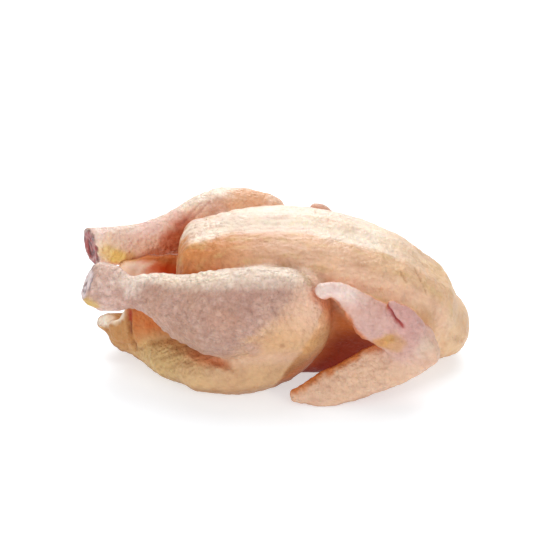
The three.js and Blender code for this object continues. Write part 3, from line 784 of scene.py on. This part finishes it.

# Each patch: its middle in the bird's frame, radius, tint, strength.
PATCHES = [
    # left hock: yellow scales left under the cut
    ((-114, -48, 56), 8, YELLOW_TINT, 0.85),
    ((-118, -42, 55), 6, YELLOW_TINT, 0.7),
    # right hock: pale, with a yellow band under it
    ((-112, 26, 66), 14, (255, 228, 196), 0.8),
    ((-106, 28, 57), 9, (240, 206, 110), 0.9),
    ((-112, 26, 61), 8, PALE_YELLOW_TINT, 0.6),
    ((-98, 28, 56), 8, (240, 196, 112), 0.6),
    # right drumstick: pink shank; orange beside the cavity and brown by the breast, painted shade where it
    # tucks against the body
    ((-84, 38, 76), 15, (246, 208, 196), 0.8),
    ((-70, 43, 82), 12, (242, 194, 180), 0.6),
    ((-62, 34, 74), 15, (200, 92, 44), 0.8),
    ((-38, 42, 87), 14, (214, 160, 134), 0.7),
    ((-72, 35, 66), 11, (216, 110, 62), 0.7),
    # left shank's top, a painted highlight; elbow; cut's lower side
    ((-88, -49, 76), 16, (255, 240, 226), 0.85),
    ((32, -72, 68), 6, (246, 176, 136), 0.7),
    ((-112, -52, 62), 8, (196, 160, 146), 0.6),
    # right hock's end, right knee, tail's tip
    ((-120, 34, 70), 10, (246, 216, 206), 0.8),
    ((-17, 48, 90), 24, (224, 164, 118), 0.75),
    ((-112, -5, 27), 7, PALE_TINT, 0.7),
    # left wrist's bend, where fat shows
    ((72, -80, 45), 9, (208, 158, 106), 0.75),
    ((64, -79, 44), 7, (214, 152, 76), 0.75),
    ((69, -80, 48), 5, (218, 168, 92), 0.6),
    # brown spots
    ((5, -80, 43), 2.2, BROWN_TINT, 0.5),
    ((-5, -32, 92), 1.6, BROWN_TINT, 0.7),
    ((-20, -40, 86), 1.2, BROWN_TINT, 0.5),
    # left wrist's corner
    ((92, -79, 42), 9, PALE_TINT, 0.4),
    # left drumstick: warmer at the calf, greyer and darker below as painted shade
    ((-30, -84, 62), 14, (206, 160, 136), 0.5),
    ((-12, -82, 40), 10, (196, 158, 156), 0.4),
    ((-50, -74, 46), 22, (186, 150, 132), 0.6),
    ((-28, -82, 42), 18, (184, 150, 134), 0.5),
]

# Each line: its path, half width, tint, strength.
LINES = [
    # painted shade along the tail's slit, and dark red at its top
    (TAIL_SLIT, 1.1, (134, 56, 30), 0.8),
    (TAIL_SLIT[:2], 1.8, (176, 60, 34), 0.8),
    # painted shade in the crease between thumb and forearm
    (THUMB_CREASE, 1.5, (168, 52, 48), 0.9),
    # painted shade in the groove between knee and breast
    (KNEE_EDGE, 2.6, (176, 134, 78), 0.5),
    (WING_WEB, 3.4, (208, 116, 56), 0.85),
    # painted shade: orange along the hand's upper edge
    (HAND_EDGE, 4.6, (208, 118, 44), 0.85),
    (TAIL_RIM, 4.5, (252, 240, 220), 0.85),
    # painted shade in the folds of the right knee's crook
    (FAR_CROOK_FOLD, 1.2, CROOK_FOLD_SHADE_TINT, 0.5),
    (FAR_CROOK_FOLD_ABOVE, 1.2, CROOK_FOLD_SHADE_TINT, 0.5),
    (NECK_SCRATCH, 1.0, SCRATCH_TINT, 0.5),
    (NECK_NICK, 0.9, SCRATCH_TINT, 0.5),
    # painted shade in the fold where thigh and rump meet under the drumstick
    (THIGH_FOLD, 2.2, (168, 92, 48), 0.4),
    ([(34, -48, 34), (34, -47, 22), (36, -46, 10)], 1.3, (150, 30, 20), 0.7),    # vein behind the wing
]


def linear(colour):
    colour = np.array(colour, float) / 255
    return np.where(colour <= 0.04045, colour / 12.92, ((colour + 0.055) / 1.055) ** 2.4)


# Each function below that ends in "tints" gives tints, and how much of each a vertex takes on.


def crown_fat_and_light_share(s):
    """The whitish band along the keel, partly fat and partly painted light, and painted light on the legs'
    upward tops.
    """
    streak = noise(s.points / (30, 5, 5), 201) + noise(s.points / (12, 2.5, 2.5), 203)
    streak = 0.06 * streak
    half_width = 17.5 + 4 * fade(s.x, 8, 40) + 4 * fade(s.x, -30, -46)
    past_edge = np.maximum(-s.y, s.y - 18) - half_width + 34 * streak + 0.8 * s.ragged
    crown = s.breast * fade(past_edge, 6, -4) * fade(s.x, 112, 60)
    crown *= fade(s.z + 2.5 * s.ragged + 60 * streak, 80, 91) + fade(s.x, 20, 40)
    crown += s.legs * fade(s.upward + 0.5 * streak, 0.62, 0.95)
    return np.clip(crown, 0, 1)


def breast_tints(s):
    """Redder towards the cavity, paler at the neck, streaked with fat, and whitish on the crown, partly as
    painted light.
    """
    yield REAR_TINT, s.breast * fade(s.x, 10, -50)
    yield NECK_TINT, (s.breast + s.trunk) * fade(s.x, 30, 90)
    crown = crown_fat_and_light_share(s)
    fat = fade(noise(s.points / (26, 4, 4), 205) + 0.5 * s.ragged, 0.1, 0.7)
    yield FAT_TINT, 0.35 * s.breast * fat * (1 - 0.5 * crown)
    yield CROWN_FAT_AND_LIGHT_TINT, 0.85 * crown
    flush = fade(noise(s.points / (18, 5, 5), 207), 0.0, 0.7)
    yield FLUSH_TINT, 0.4 * s.breast * crown * flush


def leg_tints(s):
    """Peach knees over yellower thighs, pale hocks, and painted shade on the thigh's edge that turns from
    the light: darkest low down by the floor, lighter at the knee.
    """
    yield KNEE_TINT, s.knee
    lower = fade(s.z + 0.4 * s.x, 76, 46)
    yield THIGH_TINT, s.knee * s.left_leg * lower
    yield HOCK_TINT, 0.7 * s.legs * fade(s.x, -84, -104)
    edge = (s.legs + s.thigh) * fade(s.x - 0.55 * s.z + 1.2 * s.ragged, -6, -3)
    edge *= fade(s.z, 70, 58)
    yield THIGH_EDGE_TINT, 0.8 * edge
    yield LOW_EDGE_SHADE_TINT, 0.85 * edge * fade(s.z, 44, 18)
    knee_edge = edge * fade(s.z, 44, 58) * fade(np.abs(s.y), 40, 56)
    yield KNEE_SIDE_LIGHTER_SHADE_TINT, 0.8 * knee_edge


def wing_tints(s):
    """Painted light on the body above each wing, painted shade in orange on the wing's sides that face the
    body, and a pale elbow with a painted highlight along its top.
    """
    by_wing = s.breast * fade(s.x, 28, 44) * fade(s.outward, 0.5, 0.85)
    yield BY_WING_LIGHT_TINT, 0.75 * by_wing * fade(s.z + s.x, 100, 118)
    inward = fade(-s.outward, -0.3, 0.3)
    yield INNER_WING_SHADE_TINT, 0.9 * s.wing * inward
    elbow = s.forearm * fade(s.x, 62, 40) * fade(s.z, 66, 77)
    yield ELBOW_PALE_AND_HIGHLIGHT_TINT, elbow * (1 - 0.5 * inward)


def flank_tints(s):
    """The skin flaps' outer side: orange beside the drumstick, partly the flap's own tone and partly painted
    shade under the drumstick, like the tail behind it.
    """
    flank = s.flank * s.outside
    orange = (flank + 0.6 * s.rump * s.outside) * fade(s.z, 24, 36)
    yield FLANK_ORANGE_AND_SHADE_TINT, orange * fade(s.x, -96, -88) * (0.8 + 0.25 * s.ragged)
    yield REGIONS["tail"][0], flank * fade(s.x, -88, -94)


def side_shade_tints(s):
    """Painted shade on the body's side behind each wing: dark orange, and dark red further down."""
    side = s.trunk + s.breast + s.upper_arm
    side *= fade(np.abs(s.y), 26, 36) * fade(s.x, 2, 20) * fade(s.x, 92, 72)
    side *= fade(s.z, 72, 50) * fade(s.z + s.x, 102, 88)
    yield SIDE_SHADE_TINT, 0.9 * side
    yield DARK_SIDE_SHADE_TINT, side * fade(s.z + 0.4 * (52 - s.x), 50, 30)


def mark_tints(s):
    for middle, radius, colour, strength in PATCHES:
        distance = distance_to(middle, s.points) + s.ragged * radius / 6
        yield colour, strength * fade(distance, radius, radius * 0.35)
    for path, width, colour, strength in LINES:
        distance = path_distance(s.points, path)[0] + 0.35 * width * s.ragged
        yield colour, strength * fade(distance, width * 1.3, width * 0.4)


def fold_shade_tints(s):
    """Painted shade: orange in folds and hollows, less so on the breast's top and above the wing."""
    open_breast = np.maximum(0.8 * fade(s.upward, 0.6, 0.9), 0.6 * fade(s.x, 28, 44))
    folds = fade(s.shade, 0.3, 0.95) * (1 - s.breast * open_breast)
    yield FOLD_SHADE_TINT, 0.6 * folds


def cavity_tints(s):
    """Orange membrane and red meat inside, with a pale rim on the flap's end, partly a painted highlight
    along its top.
    """
    yield MEMBRANE_TINT, 0.85 * s.inside
    deep = s.inside * fade(s.x + 3 * s.ragged, -92, -68)
    yield FLESH_TINT, deep * (0.8 + 0.2 * s.ragged)
    fibres = noise(s.points @ turned(FLAP_ANGLE) / (16, 2.4, 2.4), 225)
    yield FLESH_TINT, 0.5 * s.inside * fade(fibres, 0.1, 0.6)
    rim = s.inside * fade(s.x + 9 * fibres, -74, -92) * fade(s.z, 38, 48)
    yield FLAP_RIM_AND_HIGHLIGHT_TINT, 0.9 * rim
    crook = s.inside * fade(s.x + 5 * fibres, -80, -66) * fade(s.z, 62, 54)
    yield CROOK_TINT, 0.6 * crook


def relief_light_and_shade(s):
    """Painted light and shade of the relief: lighter domes and ridges, darker pits between them; and painted
    shade on the underside near the floor.
    """
    knee = s.knee.clip(0, 1)
    leg_pits = (0.34 * s.left_leg + 0.18 * s.right_leg) * (1 - 0.5 * knee)
    pits = s.outside * (leg_pits + 0.14 * s.wing + 0.1 * s.breast)
    striae = s.rump + s.tail + 0.5 * s.thigh * fade(s.x, 0, -30)
    light = 1 + pits * (s.domes - 0.42)
    light += s.outside * striae * ridges("rump_lights", s.points)
    light += s.breast * fade(s.x, -20, -48) * ridges("rear_lights", s.points)
    light += s.breast * fade(s.x, -40, 0) * ridges("breast_lights", s.points)
    return light * (1 - 0.35 * fade(s.upward, -0.25, -0.65) * fade(s.z, 18, 4))


def cut_tints(s):
    for (mask, distance), (meat, dark) in zip(s.cuts, CUT_TINTS):
        rings = cut_rings(s.points, distance)
        yield meat, mask
        yield dark, 0.8 * mask * fade(rings, -0.1, 0.5)
        yield BONE_TINT, 0.6 * mask * fade(rings, -0.35, -0.8)
        yield HOCK_TINT, 0.7 * mask * fade(distance + 2 * s.ragged, 11.5, 14)
        yield dark, 2.4 * mask * (1 - mask) * fade(rings, -0.7, 0.5)


def laid_on(tint, s, *layers):
    """The tint with each layer's tints blended over it, in their order."""
    for layer in layers:
        for colour, amount in layer(s):
            amount = np.clip(amount, 0, 1)[:, None]
            tint = tint * (1 - amount) + linear(colour) * amount
    return tint


def tints_of(s):
    tint = sum(s.regions[name][:, None] * linear(colour) for name, (colour, *_) in REGIONS.items())
    tint = laid_on(tint, s, breast_tints, leg_tints, wing_tints, flank_tints, side_shade_tints, mark_tints,
                   fold_shade_tints, cavity_tints)
    tint = tint * relief_light_and_shade(s)[:, None] ** LIGHT_POWERS
    return laid_on(tint, s, cut_tints)


def pores_of(s):
    pores = sum(s.regions[name] * coarse for name, (_, coarse, *_) in REGIONS.items())
    return pores * s.outside * (1 - np.clip(s.on_cut, 0, 1)) * (1 - 0.55 * s.smooth_knee)


# ---- the bird's mesh ----

def add_object(name, data):
    thing = bpy.data.objects.new(name, data)
    bpy.context.scene.collection.objects.link(thing)
    return thing


def make_chicken():
    net = Net(*mesh_field(chicken_field, FIELD_LOW, FIELD_HIGH, CELL))
    net.relax(2)
    net.settle(chicken_field, 3)
    skin = Skin(net)
    net.points = skin.points + skin.normals * relief_of(skin)[:, None]
    net.points[:, 2] = np.maximum(net.points[:, 2], 0)

    mesh = bpy.data.meshes.new("chicken_skin")
    mesh.from_pydata(((net.points - BOX_MIDDLE) * MM).tolist(), [], net.quads.tolist())
    mesh.polygons.foreach_set("use_smooth", np.ones(len(mesh.polygons), bool))
    colours = np.column_stack([np.clip(tints_of(skin), 0, 1), np.ones(len(net.points))])
    mesh.color_attributes.new("tint", "FLOAT_COLOR", "POINT").data.foreach_set("color", colours.ravel())
    for name, values in (("pores", pores_of(skin)), ("flesh", skin.inside + skin.on_cut)):
        mesh.attributes.new(name, "FLOAT", "POINT").data.foreach_set("value", np.clip(values, 0, 1))
    mesh.update()
    return add_object("chicken_skin", mesh)


# ---- the skin's material ----

PORE_SCALE = 330.0  # pores between the follicles' domes, to a metre
CRINKLE_SCALE = 800.0
BLOTCH_SCALE = 28.0  # blotches of pink and yellow a few centimetres across
DAMP_SCALE = 60.0  # moister and drier stretches
FLECK_SCALE = 120.0
GRAIN_SCALE = 420.0
WHITE = (1.0, 1.0, 1.0)
BLOTCH_STEPS = [(0.32, (0.88, 0.79, 0.79)), (0.5, WHITE), (0.68, (1.05, 1.01, 0.9))]
FLECK_STEPS = [(0.34, (0.86, 0.78, 0.76)), (0.5, WHITE), (0.66, (1.08, 1.06, 1.03))]
GRAIN_STEPS = [(0.36, (0.82, 0.74, 0.70)), (0.5, WHITE), (0.64, (1.1, 1.08, 1.05))]
PORE_STEPS = [(0.0, (1.06, 1.04, 1.03)), (0.45, WHITE), (0.9, (0.84, 0.76, 0.74))]
SKIN_VALUES = {
    "Subsurface Weight": 0.2, "Subsurface Radius": (1.0, 0.38, 0.18), "Subsurface Scale": 0.0025,
    "IOR": 1.42, "Specular IOR Level": 0.3, "Coat Weight": 0.08, "Coat Roughness": 0.22,
}


class Nodes:
    """Short names for making and joining a material's nodes."""

    def __init__(self, name):
        self.material = bpy.data.materials.new(name)
        self.material.use_nodes = True
        self.tree = self.material.node_tree
        self.shader = self.tree.nodes["Principled BSDF"]

    def set_values(self, values):
        for socket, value in values.items():
            self.shader.inputs[socket].default_value = value

    def add(self, kind, _values=None, **settings):
        node = self.tree.nodes.new(kind)
        for key, value in settings.items():
            setattr(node, key, value)
        for key, value in (_values or {}).items():
            if hasattr(value, "is_output"):
                self.tree.links.new(value, node.inputs[key])
            else:
                node.inputs[key].default_value = value
        return node

    def math(self, operation, a, b=0.0, clamp=False):
        return self.add("ShaderNodeMath", {0: a, 1: b}, operation=operation, use_clamp=clamp).outputs[0]

    def attribute(self, name, output="Fac"):
        return self.add("ShaderNodeAttribute", attribute_name=name).outputs[output]

    def noise(self, where, scale, detail=3.0, roughness=0.55):
        return self.add("ShaderNodeTexNoise", {
            "Vector": where, "Scale": scale, "Detail": detail, "Roughness": roughness}).outputs["Fac"]

    def cells(self, where, scale):
        return self.add("ShaderNodeTexVoronoi", {
            "Vector": where, "Scale": scale, "Randomness": 1.0}).outputs["Distance"]

    def steps(self, value, stops):
        node = self.add("ShaderNodeValToRGB", {"Fac": value})
        ramp = node.color_ramp
        while len(ramp.elements) < len(stops):
            ramp.elements.new(0.5)
        for element, (place, colour) in zip(ramp.elements, stops):
            element.position = place
            element.color = (*colour, 1)
        return node.outputs["Color"]

    def multiplied(self, colour, other, amount):
        return self.add(
            "ShaderNodeMix", {0: amount, 6: colour, 7: other},
            data_type="RGBA", blend_type="MULTIPLY", clamp_factor=True).outputs[2]


def skin_colour(n, where, pores, flesh):
    """The vertex's tint, with blotches, flecks and grain on it."""
    colour = n.attribute("tint", "Color")
    blotches = n.steps(n.noise(where, BLOTCH_SCALE, 4.0), BLOTCH_STEPS)
    colour = n.multiplied(colour, blotches, 0.55)
    flecks = n.steps(n.noise(where, FLECK_SCALE, 4.0, 0.6), FLECK_STEPS)
    colour = n.multiplied(colour, flecks, n.math("MULTIPLY", n.math("SUBTRACT", 1.0, flesh), 0.5))
    grain = n.steps(n.noise(where, GRAIN_SCALE, 3.0, 0.6), GRAIN_STEPS)
    colour = n.multiplied(colour, grain, n.math("MULTIPLY", pores, 0.45))
    pits = n.steps(n.cells(where, PORE_SCALE), PORE_STEPS)
    return n.multiplied(colour, pits, n.math("MULTIPLY", pores, 0.35))


def skin_roughness(n, where, flesh):
    """Moist skin, duller between its damp stretches, and wet flesh."""
    roughness = n.add("ShaderNodeMapRange", {
        "Value": n.noise(where, DAMP_SCALE), "From Min": 0.3, "From Max": 0.7,
        "To Min": 0.42, "To Max": 0.58}).outputs[0]
    return n.math("SUBTRACT", roughness, n.math("MULTIPLY", flesh, 0.16))


def skin_bump(n, where, pores):
    """Pores, a fine crinkle and low puckers, all under a millimetre high."""
    pits = n.math("SUBTRACT", 1.0, n.math("MULTIPLY", n.cells(where, PORE_SCALE), 1.5), clamp=True)
    crinkle = n.math("SUBTRACT", 1.0, n.cells(where, CRINKLE_SCALE), clamp=True)
    crinkle_share = n.math("ADD", n.math("MULTIPLY", pores, 0.25), 0.05)
    height = n.math("MULTIPLY", pits, pores)
    height = n.math("ADD", height, n.math("MULTIPLY", crinkle, crinkle_share))
    height = n.math("ADD", height, n.math("MULTIPLY", n.noise(where, FLECK_SCALE, 4.0, 0.6), 0.9))
    return n.add("ShaderNodeBump", {"Height": height, "Strength": 0.9, "Distance": 0.0016}).outputs["Normal"]


def skin_material():
    n = Nodes("raw_skin")
    where = n.add("ShaderNodeTexCoord").outputs["Object"]
    pores = n.attribute("pores")
    flesh = n.attribute("flesh")
    n.tree.links.new(skin_colour(n, where, pores, flesh), n.shader.inputs["Base Color"])
    n.tree.links.new(skin_roughness(n, where, flesh), n.shader.inputs["Roughness"])
    n.tree.links.new(skin_bump(n, where, pores), n.shader.inputs["Normal"])
    n.set_values(SKIN_VALUES)
    return n.material


# ---- the stage ----

CAMERA_TARGET = (1.84 * MM, 2.5 * MM, 54.6 * MM)
CAMERA_DISTANCE = 809.6 * MM
CAMERA_ELEVATION = 23.0
CAMERA_LENS = 80.06
SENSOR = 36.0
FLOOR_SIZE = 6.0  # from its middle to each side, in metres
PAPER_VALUES = {
    "Base Color": (0.62, 0.67, 0.71, 1), "Roughness": 0.9, "Specular IOR Level": 0.1,
    "Emission Color": (1, 1, 1, 1), "Emission Strength": 0.53,  # white paper lets light through
}
SKY_STRENGTH = 0.34
LIGHT_AIM = (0, 0, 0.05)  # the bird's middle

# A soft box so far away that its light is even over the whole floor.
SUN_PLACE, SUN_STRENGTH, SUN_SPREAD = (0.15, 0.6, 1.5), 1.6, 50
# Each panel: its name, place and diameter in metres, power in watts.
PANELS = [
    ("back", (0.0, 1.5, 0.9), 1.0, 14),
    ("front_right", (0.7, -1.4, 0.8), 0.9, 6),
    ("front_left", (-0.9, -1.3, 0.7), 0.9, 7),
]


def make_camera():
    data = bpy.data.cameras.new("camera")
    data.lens = CAMERA_LENS
    data.sensor_width = SENSOR
    camera = add_object("camera", data)
    up = math.radians(CAMERA_ELEVATION)
    back = Vector((0, -math.cos(up), math.sin(up)))
    camera.location = Vector(CAMERA_TARGET) + back * CAMERA_DISTANCE
    camera.rotation_euler = (-back).to_track_quat("-Z", "Y").to_euler()
    bpy.context.scene.camera = camera


def make_floor():
    size = FLOOR_SIZE
    corners = [(-size, -size, 0), (size, -size, 0), (size, size, 0), (-size, size, 0)]
    mesh = bpy.data.meshes.new("floor")
    mesh.from_pydata(corners, [], [(0, 1, 2, 3)])
    floor = add_object("floor", mesh)
    paper = Nodes("floor_paper")
    paper.set_values(PAPER_VALUES)
    mesh.materials.append(paper.material)


def make_light(name, kind, place, energy):
    """A light that faces the bird's middle."""
    data = bpy.data.lights.new(name, kind)
    data.energy = energy
    light = add_object(name, data)
    light.location = place
    light.rotation_euler = (Vector(LIGHT_AIM) - Vector(place)).to_track_quat("-Z", "Y").to_euler()
    return data


def make_lights():
    sun = make_light("top_back", "SUN", SUN_PLACE, SUN_STRENGTH)
    sun.angle = math.radians(SUN_SPREAD)
    for name, place, size, power in PANELS:
        panel = make_light(name, "AREA", place, power)
        panel.shape = "DISK"
        panel.size = size
    world = bpy.data.worlds.new("studio")
    world.use_nodes = True
    sky = world.node_tree.nodes["Background"]
    sky.inputs["Color"].default_value = (1, 1, 1, 1)
    sky.inputs["Strength"].default_value = SKY_STRENGTH
    bpy.context.scene.world = world
    bpy.context.scene.view_settings.view_transform = "Standard"


make_camera()
make_floor()
make_lights()
chicken = make_chicken()
chicken.data.materials.append(skin_material())
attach(chicken, "root")
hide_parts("chicken")
